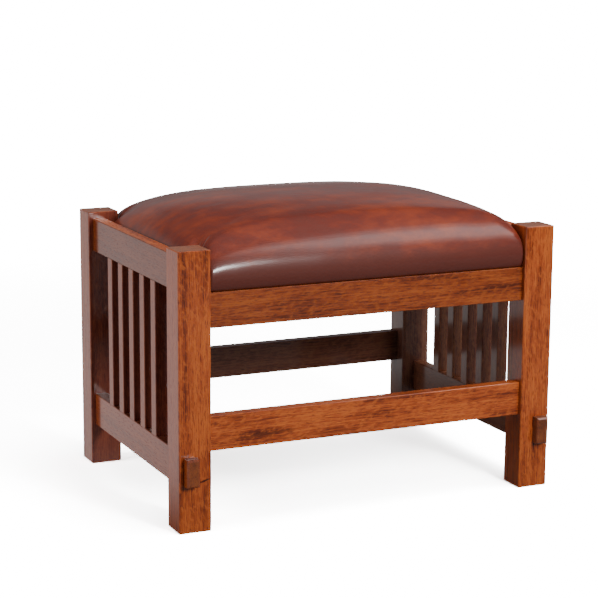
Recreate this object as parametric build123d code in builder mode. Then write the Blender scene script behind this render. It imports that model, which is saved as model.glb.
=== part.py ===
from math import radians, sin
from build123d import *
import os

os.makedirs("parts", exist_ok=True)

# Mission style ottoman with spindled ends and a leather slip seat, in millimetres.
# The origin is on the floor at the centre of the footprint: X to the right, Y to the back, Z up.

# Frame
overall_width = 607.0  # over the outer faces of the posts, along X
overall_depth = 430.0  # along Y
post_height = 406.4
post_width = 49.0
post_depth = 45.0
post_arris = 1.2  # chamfer along a post's edges
rail_thickness = 19.0
rail_height = 50.8
rail_arris = 0.8  # the same along rails and spindles
rail_setback = 7.6  # a rail's outer face lies this far behind the posts' faces
side_rail_drop = 10.4  # side top rails below the post tops
seat_rest_drop = 62.2  # from the post tops down to the front and back top rails, where the seat lies
stretcher_top = 166.0
side_lower_top = 114.8

# Joinery
glue_gap = 0.1  # on each face of a tenon
mortise_relief = 1.5  # a blind mortise is this much deeper than its tenon
tenon_thickness = 10.0
tenon_shoulder = 5.0  # above and below a blind tenon
tenon_length = 30.0
through_tenon_lower_shoulder = 6.6
through_tenon_upper_shoulder = 3.4
through_tenon_projection = 14.4
through_tenon_chamfer = 2.4
overrun = 2.0  # how far a cut runs past the face that it opens

# Spindles
spindle_count = 5
spindle_width = 19.0
spindle_pitch = 46.9
spindle_shoulder = 4.0  # all round a stub tenon
spindle_tenon_length = 10.0

# Seat
seat_side_gap = 0.6  # to the side top rails and to the posts
seat_rest_gap = 0.2
seat_overhang = 4.6  # the widest line stands this far in front of the top rails
seat_bulge_rise = 22.0  # from the underside up to the widest line
seat_crown_rise = 103.0  # from the underside up to the crown
seat_draw_in = 6.5  # the foot of the leather lies this far inside the widest line
leather_thickness = 1.6
foam_gap = 0.2  # round the stuffing and round the board's edges
turn_under = 45.0  # width of the leather that is folded under the board
board_thickness = 12.7
board_edge_wrap = 3.0  # stuffing between the board's edges and the foot of the leather
board_corner_cut = 4.0
dust_cover_thickness = 0.5
dust_cover_lap = 6.0  # over the folded leather

# Along X the seat's height follows (1 - share ** power) ** root. The block between the posts'
# inner faces stands up more steeply at its ends than the wider one between the side rails.
section_steps = 9  # sections from the middle to each end, closer together towards the end
quarter_turn = 90.0
between_posts_power = 2.6
between_posts_root = 0.25
between_rails_power = 3.5
between_rails_root = 0.43
end_height_share = 0.25  # of the crown, left standing at the two ends
shoulder_share = 0.88  # radius of the rolled shoulder, of the height over the widest line

between_rails_sink = 1.5  # keeps the wider block under the other one in the middle

# Corner blocks and screws
block_length = 60.0
block_height = 38.0
block_drop = 1.0  # below the top rails' upper edges
block_arris = 2.0
seat_screw_radius = 2.1
seat_screw_head_radius = 4.3
seat_screw_head_height = 2.8
seat_screw_head_bevel = 1.2
seat_screw_recess_radius = 5.5
seat_screw_recess_depth = 14.0
seat_screw_grip = 9.5  # thread in the seat board
screw_gap = 0.05  # round a screw in its hole

sides = (("left", -1), ("right", 1))
ends = (("front", -1), ("back", 1))

# Places that follow from the sizes above
seat_rest = post_height - seat_rest_drop
inner_x = overall_width / 2 - post_width  # inner faces of the posts
inner_y = overall_depth / 2 - post_depth
post_x = overall_width / 2 - post_width / 2
post_y = overall_depth / 2 - post_depth / 2
side_rail_x = overall_width / 2 - rail_setback - rail_thickness / 2
end_rail_y = overall_depth / 2 - rail_setback - rail_thickness / 2
side_top_level = post_height - side_rail_drop - rail_height / 2
side_lower_level = side_lower_top - rail_height / 2
end_rail_level = seat_rest - rail_height / 2
stretcher_level = stretcher_top - rail_height / 2
tenon_height = rail_height - 2 * tenon_shoulder
through_tenon_height = rail_height - through_tenon_lower_shoulder - through_tenon_upper_shoulder
through_tenon_level = side_lower_top - through_tenon_upper_shoulder - through_tenon_height / 2
spindle_tenon_width = spindle_width - 2 * spindle_shoulder
spindle_tenon_thickness = rail_thickness - 2 * spindle_shoulder
spindle_places = [(i - (spindle_count - 1) / 2) * spindle_pitch for i in range(spindle_count)]
block_y = (inner_y + end_rail_y - rail_thickness / 2) / 2
block_depth = end_rail_y - rail_thickness / 2 - inner_y
block_x = inner_x - block_length / 2
block_bottom = seat_rest - block_drop - block_height


# A plane across X or Y
def across_y(x, y, z, facing=1):
    return Plane(origin=(x, y, z), x_dir=(1, 0, 0), z_dir=(0, facing, 0))


def across_x(x, y, z, facing=1):
    return Plane(origin=(x, y, z), x_dir=(0, 1, 0), z_dir=(facing, 0, 0))


# A board's section with its four edges eased
def board_section(plane, width, height):
    with BuildSketch(plane) as section:
        Rectangle(width, height)
        chamfer(section.vertices(), rail_arris)
    return section.sketch


# Posts: blind mortises for the top rails and stretchers, and one right through for the lower rail
for end_name, end in ends:
    for side_name, side in sides:
        with BuildPart() as post:
            with BuildSketch(Plane.XY):
                with Locations((side * post_x, end * post_y)):
                    Rectangle(post_width, post_depth)
            extrude(amount=post_height)
            chamfer(post.edges(), post_arris)
            with BuildSketch(across_y(side * side_rail_x, end * inner_y, side_top_level, end)):
                Rectangle(tenon_thickness + 2 * glue_gap, tenon_height + 2 * glue_gap)
            extrude(amount=tenon_length + mortise_relief, mode=Mode.SUBTRACT)
            with BuildSketch(across_y(side * side_rail_x, end * inner_y, through_tenon_level, end)):
                Rectangle(rail_thickness + 2 * glue_gap, through_tenon_height + 2 * glue_gap)
            extrude(amount=post_depth + overrun, mode=Mode.SUBTRACT)
            for level in (end_rail_level, stretcher_level):
                with BuildSketch(across_x(side * inner_x, end * end_rail_y, level, side)):
                    Rectangle(tenon_thickness + 2 * glue_gap, tenon_height + 2 * glue_gap)
                extrude(amount=tenon_length + mortise_relief, mode=Mode.SUBTRACT)
        post.part.label = f"post_{end_name}_{side_name}"
        export_step(post.part, f"parts/{post.part.label}.step")

# Side rails, mortised on their facing edges for the spindles
for side_name, side in sides:
    with BuildPart() as side_top_rail:
        section = board_section(across_y(side * side_rail_x, 0, side_top_level), rail_thickness, rail_height)
        extrude(section, amount=inner_y, both=True)
        with BuildSketch(across_y(side * side_rail_x, 0, side_top_level)):
            Rectangle(tenon_thickness, tenon_height)
        extrude(amount=inner_y + tenon_length, both=True)
        with BuildSketch(Plane.XY.offset(side_top_level - rail_height / 2)):
            with Locations([(side * side_rail_x, y) for y in spindle_places]):
                Rectangle(spindle_tenon_thickness + 2 * glue_gap, spindle_tenon_width + 2 * glue_gap)
        extrude(amount=spindle_tenon_length + mortise_relief, mode=Mode.SUBTRACT)
    side_top_rail.part.label = f"side_top_rail_{side_name}"
    export_step(side_top_rail.part, f"parts/{side_top_rail.part.label}.step")

    with BuildPart() as side_lower_rail:
        section = board_section(across_y(side * side_rail_x, 0, side_lower_level), rail_thickness, rail_height)
        extrude(section, amount=inner_y, both=True)
        with BuildSketch(across_y(side * side_rail_x, 0, through_tenon_level)):
            Rectangle(rail_thickness, through_tenon_height)
        extrude(amount=overall_depth / 2 + through_tenon_projection, both=True)
        tips = side_lower_rail.faces().sort_by(Axis.Y)
        chamfer(tips[0].edges() + tips[-1].edges(), through_tenon_chamfer)
        with BuildSketch(Plane.XY.offset(side_lower_top)):
            with Locations([(side * side_rail_x, y) for y in spindle_places]):
                Rectangle(spindle_tenon_thickness + 2 * glue_gap, spindle_tenon_width + 2 * glue_gap)
        extrude(amount=-(spindle_tenon_length + mortise_relief), mode=Mode.SUBTRACT)
    side_lower_rail.part.label = f"side_lower_rail_{side_name}"
    export_step(side_lower_rail.part, f"parts/{side_lower_rail.part.label}.step")

# Spindles, numbered from the front, flush with both faces of the rails
spindle_bottom = side_lower_top
spindle_top = side_top_level - rail_height / 2
for side_name, side in sides:
    for number, y in enumerate(spindle_places, start=1):
        with BuildPart() as spindle:
            foot = Plane.XY.move(Location((side * side_rail_x, y, spindle_bottom)))
            section = board_section(foot, rail_thickness, spindle_width)
            extrude(section, amount=spindle_top - spindle_bottom)
            with BuildSketch(Plane.XY.offset(spindle_bottom - spindle_tenon_length)):
                with Locations((side * side_rail_x, y)):
                    Rectangle(spindle_tenon_thickness, spindle_tenon_width)
            extrude(amount=spindle_top - spindle_bottom + 2 * spindle_tenon_length)
        spindle.part.label = f"spindle_{side_name}_{number}"
        export_step(spindle.part, f"parts/{spindle.part.label}.step")

# Front and back top rails and stretchers
for end_name, end in ends:
    with BuildPart() as top_rail:
        section = board_section(across_x(0, end * end_rail_y, end_rail_level), rail_thickness, rail_height)
        extrude(section, amount=inner_x, both=True)
        with BuildSketch(across_x(0, end * end_rail_y, end_rail_level)):
            Rectangle(tenon_thickness, tenon_height)
        extrude(amount=inner_x + tenon_length, both=True)
    top_rail.part.label = f"{end_name}_top_rail"
    export_step(top_rail.part, f"parts/{top_rail.part.label}.step")

    with BuildPart() as stretcher:
        section = board_section(across_x(0, end * end_rail_y, stretcher_level), rail_thickness, rail_height)
        extrude(section, amount=inner_x, both=True)
        with BuildSketch(across_x(0, end * end_rail_y, stretcher_level)):
            Rectangle(tenon_thickness, tenon_height)
        extrude(amount=inner_x + tenon_length, both=True)
    stretcher.part.label = f"{end_name}_stretcher"
    export_step(stretcher.part, f"parts/{stretcher.part.label}.step")

# Corner blocks, glued to a top rail and to a post's inner face
for end_name, end in ends:
    for side_name, side in sides:
        with BuildPart() as block:
            with BuildSketch(Plane.XY.offset(block_bottom)):
                with Locations((side * block_x, end * block_y)):
                    Rectangle(block_length, block_depth)
            extrude(amount=block_height)
            free_edges = block.faces().sort_by(Axis.X)[0 if side > 0 else -1].edges()
            chamfer(free_edges, block_arris)
            with Locations(Plane(origin=(side * block_x, end * block_y, block_bottom), z_dir=(0, 0, -1))):
                CounterBoreHole(
                    seat_screw_radius + screw_gap,
                    seat_screw_recess_radius,
                    seat_screw_recess_depth,
                    depth=block_height,
                )
        block.part.label = f"corner_block_{end_name}_{side_name}"
        export_step(block.part, f"parts/{block.part.label}.step")

# Seat screws: pan heads up inside the blocks, threads in the seat board
seat_bottom = seat_rest + seat_rest_gap
board_bottom = seat_bottom + leather_thickness
seat_screw_foot = block_bottom + seat_screw_recess_depth
seat_screw_length = board_bottom + seat_screw_grip - seat_screw_foot
seat_screw_places = [(side * block_x, end * block_y) for _, end in ends for _, side in sides]
with BuildPart() as seat_screws:
    with Locations([(x, y, seat_screw_foot) for x, y in seat_screw_places]):
        Cylinder(
            seat_screw_radius,
            seat_screw_length,
            align=(Align.CENTER, Align.CENTER, Align.MIN),
        )
        Cylinder(
            seat_screw_head_radius,
            seat_screw_head_height,
            align=(Align.CENTER, Align.CENTER, Align.MAX),
        )
    head_rims = seat_screws.edges().filter_by(GeomType.CIRCLE).group_by(Axis.Z)[0]
    chamfer(head_rims, seat_screw_head_bevel)
seat_screws.part.label = "seat_screws"
export_step(seat_screws.part, "parts/seat_screws.step")

# Plan of the seat: it fills the space between the side rails and is notched round the posts
seat_half_width = side_rail_x - rail_thickness / 2 - seat_side_gap
seat_half_depth = end_rail_y + rail_thickness / 2 + seat_overhang
notch_x = inner_x - seat_side_gap
notch_y = inner_y - seat_side_gap
seat_widest = seat_bottom + seat_bulge_rise
seat_crown = seat_crown_rise - seat_bulge_rise
end_shares = [sin(radians(quarter_turn * step / section_steps)) for step in range(1, section_steps + 1)]
section_shares = [-share for share in reversed(end_shares)] + [0] + end_shares


# Where the arc of the shoulder turns into the wide flat arc of the crown, from the section's middle
def shoulder_end(half_depth, height):
    shoulder = shoulder_share * height
    centre = half_depth - shoulder
    crown_radius = (centre**2 + height**2 - shoulder**2) / (2 * (height - shoulder))
    reach = shoulder / (crown_radius - shoulder)
    return centre * (1 + reach), (crown_radius - height) * reach


# A crowned block with drawn-in foot: sections across X, lofted from one end to the other
def crowned_block(half_width, half_depth, inset, sink, power, root):
    wide = half_depth - inset
    foot = seat_bottom + inset
    foot_y = wide - seat_draw_in * (seat_widest - foot) / seat_bulge_rise
    with BuildPart() as block:
        for share in section_shares:
            fall = max((1 - abs(share) ** power) ** root, end_height_share)
            height = seat_crown * fall - inset - sink
            arc_y, arc_rise = shoulder_end(wide, height)
            arc_z = seat_widest + arc_rise
            with BuildSketch(across_x(share * (half_width - inset), 0, 0)):
                with BuildLine():
                    Line((-foot_y, foot), (foot_y, foot))
                    TangentArc((wide, seat_widest), (foot_y, foot), tangent=(0, -1))
                    TangentArc((wide, seat_widest), (arc_y, arc_z), tangent=(0, 1))
                    ThreePointArc((arc_y, arc_z), (0, seat_widest + height), (-arc_y, arc_z))
                    TangentArc((-wide, seat_widest), (-arc_y, arc_z), tangent=(0, 1))
                    TangentArc((-wide, seat_widest), (-foot_y, foot), tangent=(0, -1))
                make_face()
        loft(ruled=True)
    return block.part


# The seat as a closed form, every face drawn in by an inset
def seat_form(inset):
    between_posts = crowned_block(
        notch_x,
        seat_half_depth,
        inset,
        0,
        between_posts_power,
        between_posts_root,
    )
    between_rails = crowned_block(
        seat_half_width,
        notch_y,
        inset,
        between_rails_sink,
        between_rails_power,
        between_rails_root,
    )
    with BuildPart() as form:
        add(between_posts)
        add(between_rails)
    return form.part


# The seat board's plan, grown by a margin
def board_plan(level, margin):
    edge = leather_thickness + board_edge_wrap - margin
    with BuildSketch(Plane.XY.offset(level)) as plan:
        Rectangle(2 * (notch_x - edge), 2 * (seat_half_depth - seat_draw_in - edge))
        Rectangle(2 * (seat_half_width - edge), 2 * (notch_y - seat_draw_in - edge))
        chamfer(plan.vertices(), board_corner_cut)
    return plan.sketch


outer_form = seat_form(0)
inner_form = seat_form(leather_thickness)
foam_form = seat_form(leather_thickness + foam_gap)

# Leather cover: a thin skin over the stuffing, folded under the board and open in the middle
with BuildPart() as leather_cover:
    add(outer_form)
    add(inner_form, mode=Mode.SUBTRACT)
    with BuildSketch(Plane.XY.offset(seat_bottom - overrun)):
        Rectangle(2 * (seat_half_width - turn_under), 2 * (seat_half_depth - turn_under))
        with Locations(seat_screw_places):
            Circle(seat_screw_radius + screw_gap)
    extrude(amount=overrun + leather_thickness + foam_gap, mode=Mode.SUBTRACT)
leather_cover.part.label = "leather_cover"
export_step(leather_cover.part, "parts/leather_cover.step")

# Foam pad: crowned over the board and wrapped down round its edges
board_top = board_bottom + board_thickness
board_hollow_plan = board_plan(board_bottom, foam_gap)
with BuildPart() as foam_pad:
    add(foam_form)
    extrude(board_hollow_plan, amount=board_thickness, mode=Mode.SUBTRACT)
foam_pad.part.label = "foam_pad"
export_step(foam_pad.part, "parts/foam_pad.step")

# Seat board: plywood, notched round the posts and drilled for the seat screws
seat_board_plan = board_plan(board_bottom, 0)
with BuildPart() as seat_board:
    extrude(seat_board_plan, amount=board_thickness)
    with Locations([Plane(origin=(x, y, board_bottom), z_dir=(0, 0, -1)) for x, y in seat_screw_places]):
        Hole(seat_screw_radius + screw_gap, depth=seat_screw_grip + screw_gap)
seat_board.part.label = "seat_board"
export_step(seat_board.part, "parts/seat_board.step")

# Dust cover: thin black cloth over the opening under the board
with BuildPart() as dust_cover:
    with BuildSketch(Plane.XY.offset(seat_bottom - dust_cover_thickness)):
        Rectangle(
            2 * (seat_half_width - turn_under + dust_cover_lap),
            2 * (seat_half_depth - turn_under + dust_cover_lap),
        )
    extrude(amount=dust_cover_thickness)
dust_cover.part.label = "dust_cover"
export_step(dust_cover.part, "parts/dust_cover.step")
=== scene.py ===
import math

import bmesh
import bpy
import numpy as np
from mathutils import Matrix, Vector, noise


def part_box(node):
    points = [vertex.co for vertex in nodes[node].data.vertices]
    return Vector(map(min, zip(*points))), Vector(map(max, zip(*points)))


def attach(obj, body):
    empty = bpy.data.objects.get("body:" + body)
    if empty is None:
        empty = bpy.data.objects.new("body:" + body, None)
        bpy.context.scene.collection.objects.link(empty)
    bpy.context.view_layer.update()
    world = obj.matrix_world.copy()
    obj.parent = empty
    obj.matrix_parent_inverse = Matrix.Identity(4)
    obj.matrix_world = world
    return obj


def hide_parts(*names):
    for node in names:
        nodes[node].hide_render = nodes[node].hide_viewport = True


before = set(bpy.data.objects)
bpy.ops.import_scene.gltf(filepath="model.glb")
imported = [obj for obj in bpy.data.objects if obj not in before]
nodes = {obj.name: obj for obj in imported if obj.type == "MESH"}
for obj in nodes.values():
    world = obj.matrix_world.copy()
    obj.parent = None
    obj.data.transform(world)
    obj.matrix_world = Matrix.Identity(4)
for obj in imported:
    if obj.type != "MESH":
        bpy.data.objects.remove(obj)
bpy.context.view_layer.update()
print("frame loaded:", len(nodes), "nodes")

tiny = 1e-6


def chooseOnly(piece):
    bpy.ops.object.select_all(action="DESELECT")
    piece.select_set(True)
    bpy.context.view_layer.objects.active = piece


# camera, where the photograph was taken from

photoView = {
    "place": (-1.20392, -2.55663, 0.85102),
    "azimuth": -24.847,
    "elevation": 11.491,
    "roll": 0.3866,
    "lens": 111.6,
}

bpy.ops.object.select_all(action="DESELECT")
bpy.ops.object.camera_add(location=photoView["place"])
camera = bpy.context.object
camera.name = "photoCamera"
camera.data.lens = photoView["lens"]
cameraTurn = (
    Matrix.Rotation(math.radians(photoView["azimuth"]), 4, "Z")
    @ Matrix.Rotation(math.radians(90 - photoView["elevation"]), 4, "X")
    @ Matrix.Rotation(math.radians(photoView["roll"]), 4, "Z")
)
camera.rotation_euler = cameraTurn.to_euler()
bpy.context.scene.camera = camera
print("camera placed")

# node helpers


def addNode(tree, kind, values=None, **settings):
    # values go by socket name or number, each a plain value or another node's output
    node = tree.nodes.new("ShaderNode" + kind)
    for key, value in settings.items():
        setattr(node, key, value)
    for key, value in (values or {}).items():
        if isinstance(value, bpy.types.NodeSocket):
            tree.links.new(value, node.inputs[key])
        else:
            node.inputs[key].default_value = value
    return node


def mathOf(tree, operation, a, b=0.0):
    return addNode(tree, "Math", {0: a, 1: b}, operation=operation).outputs[0]


def vectorOf(tree, operation, a, b):
    return addNode(tree, "VectorMath", {0: a, 1: b}, operation=operation).outputs[0]


def numberOf(tree, operation, a, b=(0, 0, 0)):
    # a vector operation that gives a number
    return addNode(tree, "VectorMath", {0: a, 1: b}, operation=operation).outputs["Value"]


def splitOf(tree, vector):
    return addNode(tree, "SeparateXYZ", {0: vector}).outputs


def objectPlace(tree):
    return addNode(tree, "TexCoord").outputs["Object"]


def millimetres(tree):
    return vectorOf(tree, "MULTIPLY", objectPlace(tree), (1000, 1000, 1000))


def noiseOf(tree, vector, scale=1.0, detail=2.0, roughness=0.5, output="Fac"):
    values = {"Vector": vector, "Scale": scale, "Detail": detail, "Roughness": roughness}
    return addNode(tree, "TexNoise", values).outputs[output]


def stretchedNoise(tree, place, stretch, **settings):
    return noiseOf(tree, vectorOf(tree, "MULTIPLY", place, stretch), **settings)


def cellsOf(tree, place, scale, **values):
    values = {"Vector": place, "Scale": scale, **values}
    return addNode(tree, "TexVoronoi", values, feature="F1").outputs["Distance"]


def rangeOf(tree, value, low, high, newLow=0.0, newHigh=1.0):
    values = {"Value": value, "From Min": low, "From Max": high, "To Min": newLow, "To Max": newHigh}
    return addNode(tree, "MapRange", values, interpolation_type="SMOOTHSTEP").outputs[0]


def mixOf(tree, share, a, b, blend="MIX"):
    values = {0: share, 6: a, 7: b}
    return addNode(tree, "Mix", values, data_type="RGBA", blend_type=blend).outputs[2]


def opaque(colour):
    return (*colour, 1)


def addBump(tree, shader, height, strength, distance):
    bump = addNode(tree, "Bump", {"Height": height, "Strength": strength, "Distance": distance})
    tree.links.new(bump.outputs[0], shader.inputs["Normal"])


def newGroup(name, inputs, outputs):
    group = bpy.data.node_groups.new(name, "ShaderNodeTree")
    for label, kind, value in inputs:
        kind = "NodeSocket" + kind
        socket = group.interface.new_socket(name=label, in_out="INPUT", socket_type=kind)
        if value is not None:
            socket.default_value = value
    for label, kind in outputs:
        kind = "NodeSocket" + kind
        group.interface.new_socket(name=label, in_out="OUTPUT", socket_type=kind)
    source = group.nodes.new("NodeGroupInput").outputs
    return group, source, group.nodes.new("NodeGroupOutput").inputs


def newFinish(name):
    finish = bpy.data.materials.new(name)
    finish.use_nodes = True
    tree = finish.node_tree
    return finish, tree, tree.nodes["Principled BSDF"]


# floor and soft studio light

studio = {
    "floorSize": 60.0,
    "floorBounce": 0.13,
    "floorShown": 16.0,
    "floorFar": 13.0,
    "farRange": (0.8, 3.0),  # metres from the part
    "floorGlow": 0.50,
    "glowWay": (-0.80, 0.60, 0.0),
    "glowRange": (0.08, 0.40),
    "roomDark": 0.09,
    "roomBack": 0.23,
    "backWay": (0.35, 0.93, 0.0),
    "backRange": (-0.1, 0.7),
    "backTop": (0.28, 0.38),  # the back wall's light ends here
    "backFoot": (0.0, 0.26),  # and weakens here towards the floor
    "backFootShare": 0.4,
    "roomAbove": 0.30,
    "aboveRange": (0.55, 0.95),
    "aimHeight": 0.3,
    # place and size in metres, power in watts; a box that isn't mirrored gives no highlight
    "lights": {
        "keyBox": {"place": (0.45, -2.2, 1.38), "size": (0.8, 0.6), "power": 20, "mirrored": False},
        "topBox": {"place": (0.3, -0.3, 2.6), "size": (1.5, 1.2), "power": 34, "mirrored": False},
        "rightBox": {"place": (1.12, -1.05, 1.70), "size": (1.30, 0.62), "power": 6.0, "mirrored": True},
        "rightVeil": {"place": (1.18, -1.10, 1.79), "size": (1.75, 1.15), "power": 9.5, "mirrored": True},
        "leftBox": {"place": (-2.6, 0.25, 1.1), "size": (1.2, 1.0), "power": 32, "mirrored": True},
        "stripBox": {"place": (0.40, -2.2, 1.0), "size": (0.26, 0.30), "power": 22, "mirrored": True},
    },
}

bpy.ops.object.select_all(action="DESELECT")
bpy.ops.mesh.primitive_plane_add(size=studio["floorSize"])
floor = bpy.context.object
floor.name = "studioFloor"
floorPaint, tree, shader = newFinish("studioFloor")
tree.nodes.remove(shader)
spot = objectPlace(tree)
bounce = addNode(tree, "BsdfDiffuse", {"Color": opaque([studio["floorBounce"]] * 3)})
towardsGlow = numberOf(tree, "DOT_PRODUCT", spot, studio["glowWay"])
strength = rangeOf(tree, towardsGlow, *studio["glowRange"], 0.0, studio["floorGlow"])
glow = addNode(tree, "Emission", {"Strength": strength})
lit = addNode(tree, "AddShader", {0: bounce.outputs[0], 1: glow.outputs[0]})
shown = addNode(tree, "BsdfDiffuse", {"Color": opaque([studio["floorShown"]] * 3)})
fromPart = numberOf(tree, "LENGTH", spot)
strength = rangeOf(tree, fromPart, *studio["farRange"], 0.0, studio["floorFar"])
far = addNode(tree, "Emission", {"Strength": strength})
shownLit = addNode(tree, "AddShader", {0: shown.outputs[0], 1: far.outputs[0]})
seen = addNode(tree, "LightPath").outputs["Is Camera Ray"]
floorMix = addNode(tree, "MixShader", {0: seen, 1: lit.outputs[0], 2: shownLit.outputs[0]})
tree.links.new(floorMix.outputs[0], tree.nodes["Material Output"].inputs["Surface"])
floor.data.materials.append(floorPaint)

world = bpy.data.worlds.new("studioWorld")
world.use_nodes = True
tree = world.node_tree
way = addNode(tree, "TexCoord").outputs["Generated"]
rise = splitOf(tree, way)["Z"]
towardsBack = numberOf(tree, "DOT_PRODUCT", way, studio["backWay"])
backPart = rangeOf(tree, towardsBack, *studio["backRange"])
belowTop = rangeOf(tree, rise, *studio["backTop"], 1.0, 0.0)
backPart = mathOf(tree, "MULTIPLY", backPart, belowTop)
aboveFoot = rangeOf(tree, rise, *studio["backFoot"], studio["backFootShare"], 1.0)
backPart = mathOf(tree, "MULTIPLY", backPart, aboveFoot)
abovePart = rangeOf(tree, rise, *studio["aboveRange"])
strength = mathOf(tree, "MULTIPLY", backPart, studio["roomBack"])
strength = mathOf(tree, "ADD", strength, studio["roomDark"])
strength = mathOf(tree, "ADD", mathOf(tree, "MULTIPLY", abovePart, studio["roomAbove"]), strength)
seen = addNode(tree, "LightPath").outputs["Is Camera Ray"]
values = {0: seen, 2: strength, 3: studio["floorFar"]}
strength = addNode(tree, "Mix", values, data_type="FLOAT").outputs[0]
tree.links.new(strength, tree.nodes["Background"].inputs["Strength"])
tree.nodes["Background"].inputs["Color"].default_value = (1, 1, 1, 1)
bpy.context.scene.world = world

aim = Vector((0, 0, studio["aimHeight"]))
for lightName, box in studio["lights"].items():
    bpy.ops.object.light_add(type="AREA", location=box["place"])
    light = bpy.context.object
    light.name = lightName
    light.data.shape = "RECTANGLE"
    light.data.size, light.data.size_y = box["size"]
    light.data.energy = box["power"]
    light.rotation_euler = (aim - Vector(box["place"])).to_track_quat("-Z", "Y").to_euler()
    light.visible_glossy = box["mirrored"]
print("studio ready")

# wood: one figure for every board, turned along its grain

# stretches and reaches are per millimetre or in millimetres, with the grain along Z
woodGrain = {
    "wanderStretch": (0.02, 0.02, 0.006),
    "wanderReach": (9, 9, 0),
    "fibreStretch": (0.9, 0.9, 0.035),
    "fibreShare": 0.75,
    "fibreHeight": 0.3,
    "poreStretch": (0.75, 0.75, 0.10),
    "poreRange": (0.55, 0.68),
    "poreShare": 0.60,
    "poreRoughness": 0.2,
    "patchStretch": (0.03, 0.03, 0.012),
    "patchShare": 0.30,
    "fleckTurn": (0.45, 0.4, 0),
    "fleckStretch": (0.16, 0.16, 0.05),
    "fleckRange": (0.47, 0.66),
    "fromHeart": (70, 40, 0),  # how far the rings' middle lies from the board
    "ringTurn": 2.1,  # radians per millimetre
    "ringRange": (-0.2, 1.0),
    "ringShare": 0.05,
    "bandStretch": (0.11, 0.11, 0.006),
    "bandShare": 0.55,
    "toneRange": (0.57, 0.99),
    "endShare": 0.6,
    "endDull": 0.8,
    "roughness": 0.3,
}

boardFigure, source, result = newGroup(
    "boardFigure",
    [
        ("Place", "Vector", None),
        ("End Grain", "Float", 0.0),
        ("Figure", "Float", 0.5),
        ("Lacquer", "Float", 0.9),
        ("Dark", "Color", (0.07, 0.018, 0.005, 1)),
        ("Middle", "Color", (0.25, 0.065, 0.014, 1)),
        ("Light", "Color", (0.42, 0.13, 0.03, 1)),
        ("End", "Color", (0.10, 0.03, 0.01, 1)),
    ],
    [("Colour", "Color"), ("Roughness", "Float"), ("Gloss", "Float"), ("Height", "Float")],
)
tree = boardFigure
wander = stretchedNoise(tree, source["Place"], woodGrain["wanderStretch"], output="Color")
wander = vectorOf(tree, "SUBTRACT", wander, (0.5, 0.5, 0.5))
wander = vectorOf(tree, "MULTIPLY", wander, woodGrain["wanderReach"])
place = vectorOf(tree, "ADD", source["Place"], wander)
fibres = stretchedNoise(tree, place, woodGrain["fibreStretch"], detail=4, roughness=0.65)
pores = stretchedNoise(tree, place, woodGrain["poreStretch"], detail=2)
pores = rangeOf(tree, pores, *woodGrain["poreRange"])
patches = stretchedNoise(tree, place, woodGrain["patchStretch"], detail=3)
slant = addNode(tree, "Mapping", {"Vector": place, "Rotation": woodGrain["fleckTurn"]}).outputs[0]
flecks = stretchedNoise(tree, slant, woodGrain["fleckStretch"], detail=3, roughness=0.6)
flecks = rangeOf(tree, flecks, *woodGrain["fleckRange"])
across = vectorOf(tree, "ADD", place, woodGrain["fromHeart"])
across = vectorOf(tree, "MULTIPLY", across, (1, 1, 0))
rings = mathOf(tree, "MULTIPLY", numberOf(tree, "LENGTH", across), woodGrain["ringTurn"])
rings = rangeOf(tree, mathOf(tree, "SINE", rings), *woodGrain["ringRange"])
bands = stretchedNoise(tree, place, woodGrain["bandStretch"], detail=3, roughness=0.55)
tone = mathOf(tree, "MULTIPLY", fibres, woodGrain["fibreShare"])
tone = mathOf(tree, "ADD", tone, mathOf(tree, "MULTIPLY", patches, woodGrain["patchShare"]))
tone = mathOf(tree, "ADD", tone, mathOf(tree, "MULTIPLY", bands, woodGrain["bandShare"]))
tone = mathOf(tree, "SUBTRACT", tone, mathOf(tree, "MULTIPLY", rings, woodGrain["ringShare"]))
tone = rangeOf(tree, tone, *woodGrain["toneRange"])
colour = mixOf(tree, rangeOf(tree, tone, 0.0, 0.5), source["Dark"], source["Middle"])
colour = mixOf(tree, rangeOf(tree, tone, 0.5, 1.0), colour, source["Light"])
colour = mixOf(tree, mathOf(tree, "MULTIPLY", flecks, source["Figure"]), colour, source["Light"])
poreMask = mathOf(tree, "MULTIPLY", pores, woodGrain["poreShare"])
colour = mixOf(tree, poreMask, colour, source["Dark"])
endMask = mathOf(tree, "MULTIPLY", source["End Grain"], woodGrain["endShare"])
colour = mixOf(tree, endMask, colour, source["End"])
dulled = mathOf(tree, "MULTIPLY", source["End Grain"], woodGrain["endDull"])
gloss = mathOf(tree, "MULTIPLY", mathOf(tree, "SUBTRACT", 1.0, dulled), source["Lacquer"])
roughness = mathOf(tree, "MULTIPLY", pores, woodGrain["poreRoughness"])
roughness = mathOf(tree, "ADD", roughness, woodGrain["roughness"])
height = mathOf(tree, "MULTIPLY", fibres, woodGrain["fibreHeight"])
height = mathOf(tree, "SUBTRACT", height, pores)
for label, value in (("Colour", colour), ("Roughness", roughness), ("Gloss", gloss), ("Height", height)):
    tree.links.new(value, result[label])

woodLook = {
    "stained": {
        "dark": (0.12, 0.019, 0.007),
        "middle": (0.40, 0.074, 0.017),
        "light": (0.57, 0.132, 0.026),
        "end": (0.165, 0.072, 0.040),
        "figure": 0.55,
        "gloss": 0.9,
    },
    "raw": {
        "dark": (0.20, 0.10, 0.045),
        "middle": (0.42, 0.26, 0.13),
        "light": (0.55, 0.37, 0.20),
        "end": (0.30, 0.18, 0.09),
        "figure": 0.2,
        "gloss": 0.0,
    },
}

# a short check beside the tenon and a mineral streak: middle, half size and slope in the XZ face
boardMarks = {
    "post_front_left": {"middle": (-264.0, 75.6), "half": (13.0, 1.5), "slope": 0.27, "strength": 0.95},
    "front_stretcher": {"middle": (-172.0, 131.0), "half": (62.0, 4.2), "slope": 0.05, "strength": 0.6},
}


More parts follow.
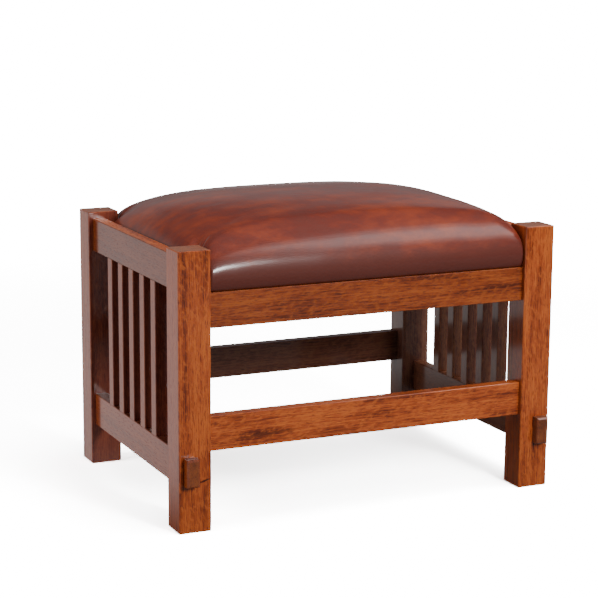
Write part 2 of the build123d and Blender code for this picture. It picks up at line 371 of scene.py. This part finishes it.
def markOf(tree, spot, mark):
    # spot is the split place in millimetres; the mark's edge is broken by waves
    x = mathOf(tree, "SUBTRACT", spot[0], mark["middle"][0])
    z = mathOf(tree, "SUBTRACT", spot[2], mark["middle"][1])
    z = mathOf(tree, "SUBTRACT", z, mathOf(tree, "MULTIPLY", x, mark["slope"]))
    flat = addNode(tree, "CombineXYZ", {0: x, 2: z}).outputs[0]
    waves = mathOf(tree, "SUBTRACT", noiseOf(tree, flat, scale=0.12, detail=3), 0.5)
    z = mathOf(tree, "ADD", z, mathOf(tree, "MULTIPLY", waves, 3.0 * mark["half"][1]))
    x = mathOf(tree, "DIVIDE", x, mark["half"][0])
    z = mathOf(tree, "DIVIDE", z, mark["half"][1])
    reach = addNode(tree, "CombineXYZ", {0: x, 2: z}).outputs[0]
    return rangeOf(tree, numberOf(tree, "LENGTH", reach), 0.5, 1.0, mark["strength"], 0.0)


boardFaces = {
    "facing": (0.8, 0.95),  # how squarely a face looks along an axis, from none to all of an effect
    "calm": 0.6,
    "calmMiddle": 0.85,
    # painted light on the upper faces of the top end rails
    "topLightTint": (1.5, 1.4, 1.2),
    "rubbedGloss": 0.15,
    # the painted shade on the boards' inner faces
    "shadeFacing": (0.5, 0.9),
    "shadePlain": 0.5,
    "shadeMiddle": 0.7,
    "markDark": 0.35,
    "bump": 0.35,
    "bumpDistance": 0.0002,
    "coatRoughness": 0.12,
    "specular": 0.15,
}


def plainWood(look, middleShare, tone):
    # the wood without its figure, between its dark and its middle colour
    pairs = zip(look["dark"], look["middle"])
    return opaque([((1 - middleShare) * a + middleShare * b) * tone for a, b in pairs])


def woodFinish(name, look, grain, shift, tone, mark, paintedShade):
    # grain is the board's long direction, shift moves it to its own part of the figure
    finish, tree, shader = newFinish(name)
    facing = splitOf(tree, addNode(tree, "NewGeometry").outputs["True Normal"])
    spot = splitOf(tree, millimetres(tree))
    order = {"X": (1, 2, 0), "Y": (0, 2, 1), "Z": (0, 1, 2)}[grain]
    place = addNode(tree, "CombineXYZ", {i: spot[k] for i, k in enumerate(order)}).outputs[0]
    place = vectorOf(tree, "ADD", place, shift)
    endGrain = rangeOf(tree, mathOf(tree, "ABSOLUTE", facing[order[2]]), *boardFaces["facing"])
    figure = tree.nodes.new("ShaderNodeGroup")
    figure.node_tree = boardFigure
    tree.links.new(place, figure.inputs["Place"])
    tree.links.new(endGrain, figure.inputs["End Grain"])
    figure.inputs["Figure"].default_value = look["figure"]
    figure.inputs["Lacquer"].default_value = look["gloss"]
    for key in ("dark", "middle", "light", "end"):
        figure.inputs[key.title()].default_value = opaque([value * tone for value in look[key]])
    colour = figure.outputs["Colour"]
    gloss = figure.outputs["Gloss"]
    if grain != "X":
        # the faces towards the sides are sawn plain, with a calmer figure
        sideways = mathOf(tree, "ABSOLUTE", facing["X"])
        calm = rangeOf(tree, sideways, *boardFaces["facing"], 0.0, boardFaces["calm"])
        colour = mixOf(tree, calm, colour, plainWood(look, boardFaces["calmMiddle"], tone))
    if grain == "Y" and not paintedShade:
        # painted light: the upper faces of the top end rails are painted paler, as if lit from above
        topLightTint = rangeOf(tree, facing["Z"], *boardFaces["facing"])
        topLitColour = mixOf(tree, 1.0, colour, opaque(boardFaces["topLightTint"]), blend="MULTIPLY")
        colour = mixOf(tree, topLightTint, colour, topLitColour)
    if paintedShade:
        # painted shade: faces towards the inside are painted darker and greyer than those at the back and
        # at the end
        endways = mathOf(tree, "MULTIPLY", facing["X"], paintedShade["end"])
        outer = mathOf(
            tree,
            "MAXIMUM",
            rangeOf(tree, facing["Y"], *boardFaces["shadeFacing"]),
            rangeOf(tree, endways, *boardFaces["shadeFacing"]),
        )
        if grain != "X":
            capped = mathOf(tree, "ABSOLUTE", facing[grain])
            capped = rangeOf(tree, capped, *boardFaces["shadeFacing"])
            outer = mathOf(tree, "MAXIMUM", outer, capped)
        plainShare = rangeOf(tree, outer, 0.0, 1.0, boardFaces["shadePlain"], 0.0)
        colour = mixOf(tree, plainShare, colour, plainWood(look, boardFaces["shadeMiddle"], tone))
        tint = mixOf(tree, outer, opaque(paintedShade["tint"]), (1, 1, 1, 1))
        colour = mixOf(tree, 1.0, colour, tint, blend="MULTIPLY")
    if mark:
        darker = opaque([value * boardFaces["markDark"] for value in look["dark"]])
        colour = mixOf(tree, markOf(tree, spot, mark), colour, darker)
    if grain != "Z":
        # the upper edges of rails are rubbed duller than their faces
        dull = rangeOf(tree, facing["Z"], *boardFaces["facing"], 1.0, boardFaces["rubbedGloss"])
        gloss = mathOf(tree, "MULTIPLY", gloss, dull)
    tree.links.new(colour, shader.inputs["Base Color"])
    tree.links.new(figure.outputs["Roughness"], shader.inputs["Roughness"])
    tree.links.new(gloss, shader.inputs["Coat Weight"])
    height = figure.outputs["Height"]
    addBump(tree, shader, height, boardFaces["bump"], boardFaces["bumpDistance"])
    shader.inputs["Coat Roughness"].default_value = boardFaces["coatRoughness"]
    shader.inputs["Specular IOR Level"].default_value = boardFaces["specular"]
    return finish


def dress(node, finish):
    target = nodes[node]
    target.data.materials.clear()
    target.data.materials.append(finish)


# by the first word of a node's name
grainOf = {"post": "Z", "spindle": "Z", "side": "Y", "front": "X", "back": "X", "corner": "X"}
boardShift = (137.0, 61.0, 211.0)
# each board's tone, partly the wood's own colour and partly painted shade: the spindles and the boards at
# the back are darkened for the shade they lie in
boardToneAndShade = {
    "front_top_rail": 0.60,
    "front_stretcher": 0.93,
    "post_front_left": 0.88,
    "post_front_right": 0.86,
    "post_back_left": 0.76,
    "side_top_rail_left": 0.52,
    "side_lower_rail_left": 0.72,
    "side_lower_rail_right": 0.64,
    "post_back_right": 0.80,
    "back_stretcher": 0.80,
}
# painted shade: what the inner faces' colour is multiplied by, and the way to the end that the board
# stands at
boardPaintedShade = {
    "back_stretcher": {"tint": (0.46, 0.85, 2.1), "end": 1},
    "post_back_left": {"tint": (0.70, 0.80, 1.8), "end": -1},
    "post_back_right": {"tint": (0.54, 1.10, 3.0), "end": 1},
    "side_lower_rail_left": {"tint": (0.45, 0.55, 1.2), "end": -1},
    "side_lower_rail_right": {"tint": (0.80, 1.44, 3.2), "end": 1},
}
for number in range(1, 6):
    boardToneAndShade[f"spindle_left_{number}"] = 0.74
    boardToneAndShade[f"spindle_right_{number}"] = 0.80
    boardPaintedShade[f"spindle_left_{number}"] = {"tint": (0.60, 0.68, 1.7), "end": -1}
    boardPaintedShade[f"spindle_right_{number}"] = {"tint": (0.78, 1.45, 3.4), "end": 1}
for number, node in enumerate(sorted(nodes)):
    grain = grainOf.get(node.split("_")[0])
    if grain:
        look = woodLook["raw"] if node.startswith("corner") else woodLook["stained"]
        shift = [value * number for value in boardShift]
        tone = boardToneAndShade.get(node, 1.0)
        mark, paintedShade = boardMarks.get(node), boardPaintedShade.get(node)
        dress(node, woodFinish(f"wood_{node}", look, grain, shift, tone, mark, paintedShade))
print("boards stained")

# leather seat: a crowned skin, notched round the posts, blown up a little as cloth

seat = {
    "between": (0.2539, 0.2120),  # half size between the posts
    "railed": (0.2763, 0.1694),  # half size between the side rails
    "bottom": 0.3444,
    "widest": 0.3664,
    "crown": 0.0816,
    "betweenFall": (2.6, 0.25),  # powers of the crown's fall to the ends
    "railedFall": (3.5, 0.43),
    "shoulder": 0.88,  # radius of the rolled shoulder, as a share of the height there
    "blend": 0.005,
    "cornerRound": 0.004,
    "fuller": {"middle": (0.224, -0.150), "reach": (0.034, 0.075), "lift": 0.0048, "fade": 0.02},
    "columnSteps": (40, 9),
    "rowSteps": (30, 11),
    "crowding": (0.85, 0.15),  # shares of the crowded and of the even spacing of grid lines
    "footDraw": 0.0095,  # how far the foot rolls in at the front and the back
    "footSteps": (0.15, 0.3, 0.45, 0.6, 0.73, 0.84, 0.92, 0.975, 1.0),
    "turnUnder": 0.045,
    "underSteps": (0.1, 0.35, 0.65, 1.0),
    "heldFrom": 0.8,  # the cloth is held from this share of the way down the foot
    "skin": 0.0015,
    "mostMove": 0.0012,
    "waviness": 0.00035,
    "slowWaves": (11, 16, 20),
    "quickWaves": (30, 38, 40),
    "quickShare": 0.4,
    "quickShift": 9,
    "waveFade": (0.004, 0.02),  # the waves start this far above the bottom, and grow over this rise
}
crease = {
    "from": (0.2535, 0.1690),
    "to": (0.2290, 0.1500),
    "deep": 0.0016,
    "wide": 0.0024,
    "ridge": 0.45,  # height of the ridge beside the tuck, and how many widths off it stands
    "ridgeAt": 2,
}
tension = {
    "quality": 6,
    "mass": 0.4,
    "stretch": 40,
    "squeeze": 20,
    "bend": 2,
    "pressure": 4,
    "frames": 20,
}


def edgeLines(inner, outer, innerSteps, outerSteps):
    # grid lines from the middle out, closer together near the two edges
    crowded, even = seat["crowding"]
    lines = []
    for i in range(innerSteps + 1):
        share = i / innerSteps
        lines.append(inner * (crowded * math.sin(share * math.pi / 2) + even * share))
    for i in range(1, outerSteps + 1):
        lines.append(inner + (outer - inner) * (0.5 - 0.5 * math.cos(math.pi * i / outerSteps)))
    return [-value for value in reversed(lines[1:])] + lines


def crownHeight(x, y, half, fall):
    # along X the crown falls to the ends; across, a rolled shoulder runs into a wide flat arc
    top = seat["crown"] * (1 - min(abs(x) / half[0], 1.0) ** fall[0]) ** fall[1]
    roll = seat["shoulder"] * top
    middle = half[1] - roll
    if abs(y) >= half[1] or top < tiny:
        return 0.0
    arc = (middle * middle + top * top - roll * roll) / (2 * (top - roll))
    if abs(y) > middle * (1 + roll / (arc - roll)):
        return math.sqrt(max(0.0, roll * roll - (abs(y) - middle) ** 2))
    return top - arc + math.sqrt(arc * arc - y * y)


def seatHeight(x, y):
    a = crownHeight(x, y, seat["between"], seat["betweenFall"])
    b = crownHeight(x, y, seat["railed"], seat["railedFall"])
    close = max(0.0, 1 - abs(a - b) / seat["blend"])
    near = min(1.0, min(a, b) / seat["blend"])
    rise = max(a, b) + near * close * close * seat["blend"] / 4
    # the stuffing is fuller at the front right shoulder
    fuller = seat["fuller"]
    offX = (x - fuller["middle"][0]) / fuller["reach"][0]
    offY = (y - fuller["middle"][1]) / fuller["reach"][1]
    return rise + fuller["lift"] * math.exp(-(offX**2) - offY**2) * min(1.0, rise / fuller["fade"])


def inNotch(x, y):
    # the place of a post, past both outlines
    return abs(x) > seat["between"][0] + tiny and abs(y) > seat["railed"][1] + tiny


def roundedPlace(x, y, drawX=0.0, drawY=0.0):
    # the two outer corners at each end are rounded in plan
    radius = seat["cornerRound"]
    for half in (seat["between"], seat["railed"]):
        endX, endY = half[0] - drawX, half[1] - drawY
        u, v = (abs(x) - endX) / radius + 1, (abs(y) - endY) / radius + 1
        if 0 < u < 1.001 and 0 < v < 1.001:
            newU, newV = u * math.sqrt(1 - v * v / 2), v * math.sqrt(1 - u * u / 2)
            x = math.copysign(endX + (newU - 1) * radius, x)
            y = math.copysign(endY + (newV - 1) * radius, y)
            break
    return x, y


def drawnIn(x, y, draw):
    # a place on the square outline, carried in by draw; the foot rolls in at the front
    # and the back, and hangs straight down at the ends
    drawX, drawY = max(0.0, draw - seat["footDraw"]), draw
    newX, newY = abs(x) - drawX, abs(y) - drawY
    if abs(y) > seat["railed"][1] + tiny and abs(x) < seat["between"][0] - tiny:
        newX = abs(x) * (1 - drawX / seat["between"][0])
    elif abs(x) > seat["between"][0] + tiny and abs(y) < seat["railed"][1] - tiny:
        newY = abs(y) * (1 - drawY / seat["railed"][1])
    return roundedPlace(math.copysign(newX, x), math.copysign(newY, y), drawX, drawY)


def rimOf(mesh):
    # the open edge's points in order, once round
    rim = [edge for edge in mesh.edges if edge.is_boundary]
    loop = [rim[0].verts[0], rim[0].verts[1]]
    while len(loop) < len(rim):
        edges = [edge for edge in loop[-1].link_edges if edge.is_boundary]
        step = [edge for edge in edges if loop[-2] not in edge.verts][0]
        loop.append(step.other_vert(loop[-1]))
    return loop


def buildSeatSkin():
    columns = edgeLines(seat["between"][0], seat["railed"][0], *seat["columnSteps"])
    rows = edgeLines(seat["railed"][1], seat["between"][1], *seat["rowSteps"])
    mesh = bmesh.new()
    grid = {}
    square = {}
    for i, x in enumerate(columns):
        for j, y in enumerate(rows):
            if not inNotch(x, y):
                z = seat["widest"] + seatHeight(x, y)
                grid[i, j] = mesh.verts.new((*roundedPlace(x, y), z))
                square[grid[i, j]] = (x, y)
    for i, j in grid:
        corners = [grid.get(key) for key in ((i, j), (i + 1, j), (i + 1, j + 1), (i, j + 1))]
        if all(corners):
            mesh.faces.new(corners)
    # the rim is carried down the foot and in under the board
    loop = rimOf(mesh)
    spots = [square[vert] for vert in loop]
    fall = seat["widest"] - seat["bottom"]
    rings = []
    for share in seat["footSteps"]:
        draw = seat["footDraw"] * (1 - math.sqrt(1 - share * share))
        rings.append((draw, seat["widest"] - share * fall))
    for share in seat["underSteps"]:
        draw = seat["footDraw"] + share * (seat["turnUnder"] - seat["footDraw"])
        rings.append((draw, seat["bottom"]))
    pinned = []
    for draw, level in rings:
        ring = [mesh.verts.new((*drawnIn(x, y, draw), level)) for x, y in spots]
        for k in range(len(loop)):
            after = (k + 1) % len(loop)
            mesh.faces.new((loop[k], ring[k], ring[after], loop[after]))
        loop = ring
        if level < seat["widest"] - seat["heldFrom"] * fall:
            pinned.append(ring)
    for face in mesh.faces:
        face.smooth = True
    bmesh.ops.recalc_face_normals(mesh, faces=mesh.faces)
    mesh.verts.index_update()
    held = [vert.index for ring in pinned for vert in ring]
    data = bpy.data.meshes.new("leatherSeat")
    mesh.to_mesh(data)
    mesh.free()
    skin = bpy.data.objects.new("leatherSeat", data)
    bpy.context.collection.objects.link(skin)
    return skin, held


def inflate(skin, held):
    group = skin.vertex_groups.new(name="held")
    group.add(held, 1.0, "REPLACE")
    start = np.array([vert.co for vert in skin.data.vertices])
    outward = np.array([vert.normal for vert in skin.data.vertices])
    cloth = skin.modifiers.new("tension", "CLOTH")
    cloth.settings.quality = tension["quality"]
    cloth.settings.mass = tension["mass"]
    cloth.settings.tension_stiffness = tension["stretch"]
    cloth.settings.compression_stiffness = tension["squeeze"]
    cloth.settings.bending_stiffness = tension["bend"]
    cloth.settings.vertex_group_mass = "held"
    cloth.settings.use_pressure = True
    cloth.settings.uniform_pressure_force = tension["pressure"]
    cloth.settings.effector_weights.gravity = 0
    cloth.collision_settings.use_collision = False
    scene = bpy.context.scene
    for number in range(1, tension["frames"] + 1):
        scene.frame_set(number)
    blown = skin.evaluated_get(bpy.context.evaluated_depsgraph_get())
    end = np.array([vert.co for vert in blown.data.vertices])
    skin.modifiers.remove(cloth)
    scene.frame_set(1)
    move = end - start
    length = np.linalg.norm(move, axis=1)
    most = seat["mostMove"]
    move *= (most * np.tanh(length / most) / np.maximum(length, 1e-9))[:, None]
    print("leather blown up, furthest move in mm:", round(float(length.max()) * 1000, 2))
    # the stuffing keeps the skin from sinking in
    move -= np.minimum((move * outward).sum(axis=1), 0)[:, None] * outward
    skin.data.vertices.foreach_set("co", (start + move).ravel())
    skin.data.update()


def creaseDip(x, y):
    # a tuck that runs from each notch corner up on to the crown
    begin = Vector(crease["from"])
    along = Vector(crease["to"]) - begin
    spot = Vector((abs(x), abs(y))) - begin
    share = min(1.0, max(0.0, spot.dot(along) / along.dot(along)))
    off = (spot - share * along).length / crease["wide"]
    ridge = crease["ridge"] * math.exp(-((off - crease["ridgeAt"]) ** 2))
    return crease["deep"] * (1 - share) * (math.exp(-off * off) - ridge)


def waveLift(x, y, z):
    a, b = seat["slowWaves"], seat["quickWaves"]
    slow = noise.noise((x * a[0], y * a[1], z * a[2]))
    quick = noise.noise((x * b[0], y * b[1], z * b[2] + seat["quickShift"]))
    return slow + seat["quickShare"] * quick


leatherSeat, heldVerts = buildSeatSkin()
inflate(leatherSeat, heldVerts)
chooseOnly(leatherSeat)
finer = leatherSeat.modifiers.new("finer", "SUBSURF")
finer.levels = finer.render_levels = 1
bpy.ops.object.modifier_apply(modifier="finer")
waved = []
for vert in leatherSeat.data.vertices:
    x, y, z = vert.co
    start, growth = seat["waveFade"]
    rise = min(1.0, max(0.0, (z - seat["bottom"] - start) / growth))
    offset = waveLift(x, y, z) * seat["waviness"] - creaseDip(x, y)
    waved.extend(vert.co + vert.normal * rise * offset)
leatherSeat.data.vertices.foreach_set("co", waved)
leatherSeat.data.update()
thick = leatherSeat.modifiers.new("thick", "SOLIDIFY")
thick.thickness = seat["skin"]
thick.offset = -1
bpy.ops.object.modifier_apply(modifier="thick")
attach(leatherSeat, "root")
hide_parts("leather_cover")
print("leather seat:", len(leatherSeat.data.polygons), "faces")

leatherLook = {
    "deep": (0.106, 0.0225, 0.0150),
    "body": (0.134, 0.0172, 0.0086),
    "rub": (0.252, 0.037, 0.0094),
    "cloudStretch": (0.007, 0.012, 0.016),
    "cloudShare": 0.6,
    "mottleStretch": (0.030, 0.045, 0.05),
    "mottleShare": 0.4,
    "mottleHeight": 7.0,
    "speckStretch": (0.4, 0.4, 0.4),
    "speckRange": (0.5, 0.8),
    "speckShare": 0.3,
    "speckHeight": 0.8,
    "pebbleScale": 0.9,
    "rubRange": (0.42, 0.70),
    "deepRange": (0.52, 0.32),
    "deepShare": 0.6,
    "upperRange": (368, 400),  # height in millimetres, and how far the clouds shift it
    "upperShift": 60,
    "roughRange": (0.3, 0.7),
    "roughness": (0.42, 0.50),
    "specular": 0.25,
    "coat": 0.75,
    "coatRoughness": 0.17,
    "bump": 0.12,
    "bumpDistance": 0.0003,
}

leather, tree, shader = newFinish("leather")
body, rub, deep = [opaque(leatherLook[key]) for key in ("body", "rub", "deep")]
spot = millimetres(tree)
clouds = stretchedNoise(tree, spot, leatherLook["cloudStretch"], detail=4, roughness=0.6)
mottle = stretchedNoise(tree, spot, leatherLook["mottleStretch"], detail=3, roughness=0.55)
specks = stretchedNoise(tree, spot, leatherLook["speckStretch"], detail=3, roughness=0.6)
tone = mathOf(
    tree,
    "ADD",
    mathOf(tree, "MULTIPLY", clouds, leatherLook["cloudShare"]),
    mathOf(tree, "MULTIPLY", mottle, leatherLook["mottleShare"]),
)
# darker along the foot: below a height that the clouds shift, the leather turns to the deep colour, and
# the crown keeps the paler mottle
shift = mathOf(tree, "MULTIPLY", mathOf(tree, "SUBTRACT", clouds, 0.5), leatherLook["upperShift"])
level = mathOf(tree, "ADD", splitOf(tree, spot)["Z"], shift)
upperShare = rangeOf(tree, level, *leatherLook["upperRange"])
colour = mixOf(tree, rangeOf(tree, tone, *leatherLook["rubRange"]), body, rub)
deepMask = rangeOf(tree, tone, *leatherLook["deepRange"], 0.0, leatherLook["deepShare"])
colour = mixOf(tree, deepMask, colour, deep)
colour = mixOf(tree, upperShare, deep, colour)
speckMask = rangeOf(tree, specks, *leatherLook["speckRange"], 0.0, leatherLook["speckShare"])
colour = mixOf(tree, speckMask, colour, deep)
tree.links.new(colour, shader.inputs["Base Color"])
roughness = rangeOf(tree, mottle, *leatherLook["roughRange"], *leatherLook["roughness"])
tree.links.new(roughness, shader.inputs["Roughness"])
height = cellsOf(tree, spot, leatherLook["pebbleScale"])
height = mathOf(tree, "ADD", height, mathOf(tree, "MULTIPLY", specks, leatherLook["speckHeight"]))
height = mathOf(tree, "ADD", height, mathOf(tree, "MULTIPLY", mottle, leatherLook["mottleHeight"]))
addBump(tree, shader, height, leatherLook["bump"], leatherLook["bumpDistance"])
shader.inputs["Specular IOR Level"].default_value = leatherLook["specular"]
shader.inputs["Coat Weight"].default_value = leatherLook["coat"]
shader.inputs["Coat Roughness"].default_value = leatherLook["coatRoughness"]
leatherSeat.data.materials.append(leather)
print("leather dyed")

# what shows from below: cambric, plywood edge, foam, staples and screws

undersideLook = {
    "cambric": {
        "thread": (0.010, 0.010, 0.011),
        "fluff": (0.034, 0.034, 0.036),
        "webStretch": (1.2, 1.2, 0.2),
        "webRange": (0.35, 0.75),
        "dotScale": 0.5,
        "dotRandomness": 0.1,
        "roughness": 0.85,
        "bump": 0.4,
        "bumpDistance": 0.0002,
    },
    "plywood": {
        "dark": (0.36, 0.22, 0.11),
        "light": (0.62, 0.44, 0.25),
        "lineStretch": (0.02, 0.5, 0.5),
        "plyTurn": 2.4,  # radians per millimetre
        "plyShare": 0.12,
        "toneRange": (0.3, 0.75),
        "roughness": 0.7,
    },
    "foam": {
        "hollow": (0.60, 0.52, 0.30),
        "wall": (0.82, 0.76, 0.55),
        "cellScale": 0.8,
        "roughness": 0.95,
        "bump": 0.5,
        "bumpDistance": 0.0004,
    },
    "screwSteel": {"tint": (0.60, 0.57, 0.50), "roughness": 0.28},
    "stapleSteel": {"tint": (0.66, 0.66, 0.66), "roughness": 0.22},
}
steelStains = {
    "stretch": (0.9, 0.9, 0.9),
    "colourRange": (0.35, 0.7),
    "darkShare": 0.7,
    "roughRange": (0.3, 0.7),
    "rougher": 0.15,
}

look = undersideLook["cambric"]
cambric, tree, shader = newFinish("cambric")
spot = millimetres(tree)
web = stretchedNoise(tree, spot, look["webStretch"], detail=4, roughness=0.7)
dots = cellsOf(tree, spot, look["dotScale"], Randomness=look["dotRandomness"])
share = rangeOf(tree, web, *look["webRange"])
colour = mixOf(tree, share, opaque(look["thread"]), opaque(look["fluff"]))
tree.links.new(colour, shader.inputs["Base Color"])
shader.inputs["Roughness"].default_value = look["roughness"]
addBump(tree, shader, mathOf(tree, "ADD", web, dots), look["bump"], look["bumpDistance"])
dress("dust_cover", cambric)

look = undersideLook["plywood"]
plywood, tree, shader = newFinish("plywood")
spot = millimetres(tree)
lines = stretchedNoise(tree, spot, look["lineStretch"], detail=4, roughness=0.6)
plies = mathOf(tree, "SINE", mathOf(tree, "MULTIPLY", splitOf(tree, spot)["Z"], look["plyTurn"]))
tone = mathOf(tree, "ADD", lines, mathOf(tree, "MULTIPLY", plies, look["plyShare"]))
share = rangeOf(tree, tone, *look["toneRange"])
colour = mixOf(tree, share, opaque(look["dark"]), opaque(look["light"]))
tree.links.new(colour, shader.inputs["Base Color"])
shader.inputs["Roughness"].default_value = look["roughness"]
dress("seat_board", plywood)

look = undersideLook["foam"]
foam, tree, shader = newFinish("foam")
cells = cellsOf(tree, millimetres(tree), look["cellScale"])
colour = mixOf(tree, cells, opaque(look["hollow"]), opaque(look["wall"]))
tree.links.new(colour, shader.inputs["Base Color"])
shader.inputs["Roughness"].default_value = look["roughness"]
addBump(tree, shader, cells, look["bump"], look["bumpDistance"])
dress("foam_pad", foam)


def steelFinish(name):
    tint, rough = undersideLook[name]["tint"], undersideLook[name]["roughness"]
    finish, tree, shader = newFinish(name)
    spot = millimetres(tree)
    stains = stretchedNoise(tree, spot, steelStains["stretch"], detail=4, roughness=0.6)
    share = rangeOf(tree, stains, *steelStains["colourRange"])
    dark = opaque([value * steelStains["darkShare"] for value in tint])
    tree.links.new(mixOf(tree, share, dark, opaque(tint)), shader.inputs["Base Color"])
    worst = rough + steelStains["rougher"]
    roughness = rangeOf(tree, stains, *steelStains["roughRange"], rough, worst)
    tree.links.new(roughness, shader.inputs["Roughness"])
    shader.inputs["Metallic"].default_value = 1.0
    return finish


screwSteel = steelFinish("screwSteel")
stapleSteel = steelFinish("stapleSteel")
dress("seat_screws", screwSteel)
print("underside dressed")


def gatherCopies(piece, places):
    # one copy of a finished piece at each place, turned about Z and joined into one piece
    copies = []
    for spot, turn in places:
        copy = piece.copy()
        copy.data = piece.data.copy()
        bpy.context.collection.objects.link(copy)
        turned = Matrix.Rotation(math.radians(turn), 4, "Z")
        copy.data.transform(Matrix.Translation(spot) @ turned)
        copies.append(copy)
    bpy.data.objects.remove(piece)
    bpy.ops.object.select_all(action="DESELECT")
    for copy in copies:
        copy.select_set(True)
    bpy.context.view_layer.objects.active = copies[0]
    bpy.ops.object.join()
    return bpy.context.object


staple = {
    "length": 0.0110,
    "wire": 0.0007,
    "leg": 0.0016,
    "pitch": 0.032,
    "fromEdge": 0.0035,
    "fromCorner": 0.012,
    "straight": 0.86,  # share of the length that is straight; the rest are the bent ends
    "bentEnd": 0.07,
    "bentFrom": 0.45,
    "bentRise": 0.5,
    "flatness": 1.5,
    "bevel": 0.22,
    "sunk": 0.35,
    "stray": (0.002, 90),  # metres off its place and degrees off its line, each with its noise's scale
    "tilt": (8, 70),
}

coverLow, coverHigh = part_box("dust_cover")
bpy.ops.object.select_all(action="DESELECT")
bpy.ops.mesh.primitive_cube_add(size=1)
oneStaple = bpy.context.object
wireSize = (staple["length"] * staple["straight"], staple["wire"] * staple["flatness"], staple["wire"], 1)
oneStaple.data.transform(Matrix.Diagonal(wireSize))
bpy.ops.object.mode_set(mode="EDIT")
bpy.ops.mesh.select_all(action="DESELECT")
shape = bmesh.from_edit_mesh(oneStaple.data)
for face in shape.faces:
    face.select_set(abs(face.normal.x) > 0.9)
bmesh.update_edit_mesh(oneStaple.data)
bentEnd = {"value": staple["length"] * staple["bentEnd"]}
bpy.ops.mesh.extrude_region_shrink_fatten(TRANSFORM_OT_shrink_fatten=bentEnd)
shape = bmesh.from_edit_mesh(oneStaple.data)
for vert in shape.verts:
    if abs(vert.co.x) > staple["length"] * staple["bentFrom"]:
        vert.co.z += staple["leg"] * staple["bentRise"]
bmesh.update_edit_mesh(oneStaple.data)
bpy.ops.mesh.select_all(action="SELECT")
bpy.ops.mesh.bevel(offset=staple["wire"] * staple["bevel"], segments=2, affect="EDGES")
bpy.ops.object.mode_set(mode="OBJECT")


def stapleRow(edge, reach, alongY):
    # a row along one edge of the cover, at edge and as far as reach to both sides
    count = int(2 * (reach - staple["fromCorner"]) / staple["pitch"])
    level = coverLow.z - staple["wire"] * staple["sunk"]
    row = []
    for i in range(count + 1):
        along = (i - count / 2) * staple["pitch"]
        stray = staple["stray"][0] * noise.noise((along * staple["stray"][1], edge, 0))
        tilt = staple["tilt"][0] * noise.noise((along * staple["tilt"][1], edge, 3))
        if alongY:
            row.append((Vector((edge, along + stray, level)), 90 + tilt))
        else:
            row.append((Vector((along + stray, edge, level)), tilt))
    return row


spots = []
for side in (-1, 1):
    spots += stapleRow(side * (coverHigh.y - staple["fromEdge"]), coverHigh.x, False)
    spots += stapleRow(side * (coverHigh.x - staple["fromEdge"]), coverHigh.y, True)
staples = gatherCopies(oneStaple, spots)
staples.name = "staples"
staples.data.materials.append(stapleSteel)
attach(staples, "root")
print("staples:", len(spots))

# slotted screws that hold the corner blocks to the rails

blockScrew = {
    "radius": 0.0042,
    "sides": 32,
    "thick": 0.0018,
    "proud": 0.0005,
    "rimBevel": 0.0004,
    "slotLong": 3,  # in radii
    "slotWide": 0.0009,
    "slotDeep": 0.0008,
    "smoothAngle": 30,
    "fromMiddle": 0.018,
}

bpy.ops.object.select_all(action="DESELECT")
bpy.ops.mesh.primitive_cylinder_add(
    vertices=blockScrew["sides"], radius=blockScrew["radius"], depth=blockScrew["thick"]
)
oneScrew = bpy.context.object
oneScrew.data.transform(Matrix.Translation((0, 0, -blockScrew["thick"] / 2)))
bpy.ops.object.mode_set(mode="EDIT")
shape = bmesh.from_edit_mesh(oneScrew.data)
for edge in shape.edges:
    edge.select_set(all(abs(vert.co.z) < tiny for vert in edge.verts))
shape.select_flush_mode()
bmesh.update_edit_mesh(oneScrew.data)
bpy.ops.mesh.bevel(offset=blockScrew["rimBevel"], segments=2, affect="EDGES")
bpy.ops.object.mode_set(mode="OBJECT")
bpy.ops.mesh.primitive_cube_add(size=1)
slotCutter = bpy.context.object
slotLong = blockScrew["slotLong"] * blockScrew["radius"]
slotSize = (slotLong, blockScrew["slotWide"], 2 * blockScrew["slotDeep"], 1)
slotCutter.data.transform(Matrix.Diagonal(slotSize))
cut = oneScrew.modifiers.new("slot", "BOOLEAN")
cut.object = slotCutter
cut.solver = "EXACT"
chooseOnly(oneScrew)
bpy.ops.object.modifier_apply(modifier="slot")
bpy.data.objects.remove(slotCutter)
bpy.ops.object.shade_smooth_by_angle(angle=math.radians(blockScrew["smoothAngle"]))
oneScrew.data.transform(Matrix.Rotation(math.radians(-90), 4, "X"))
spots = []
for end in ("front", "back"):
    for side in ("left", "right"):
        low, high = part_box(f"corner_block_{end}_{side}")
        middle = (low + high) / 2
        inner = high.y + blockScrew["proud"] if end == "front" else low.y - blockScrew["proud"]
        for shift in (-blockScrew["fromMiddle"], blockScrew["fromMiddle"]):
            spots.append((Vector((middle.x + shift, inner, middle.z)), 0 if end == "front" else 180))
blockScrews = gatherCopies(oneScrew, spots)
blockScrews.name = "blockScrews"
blockScrews.data.materials.append(screwSteel)
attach(blockScrews, "root")
print("block screws:", len(spots))
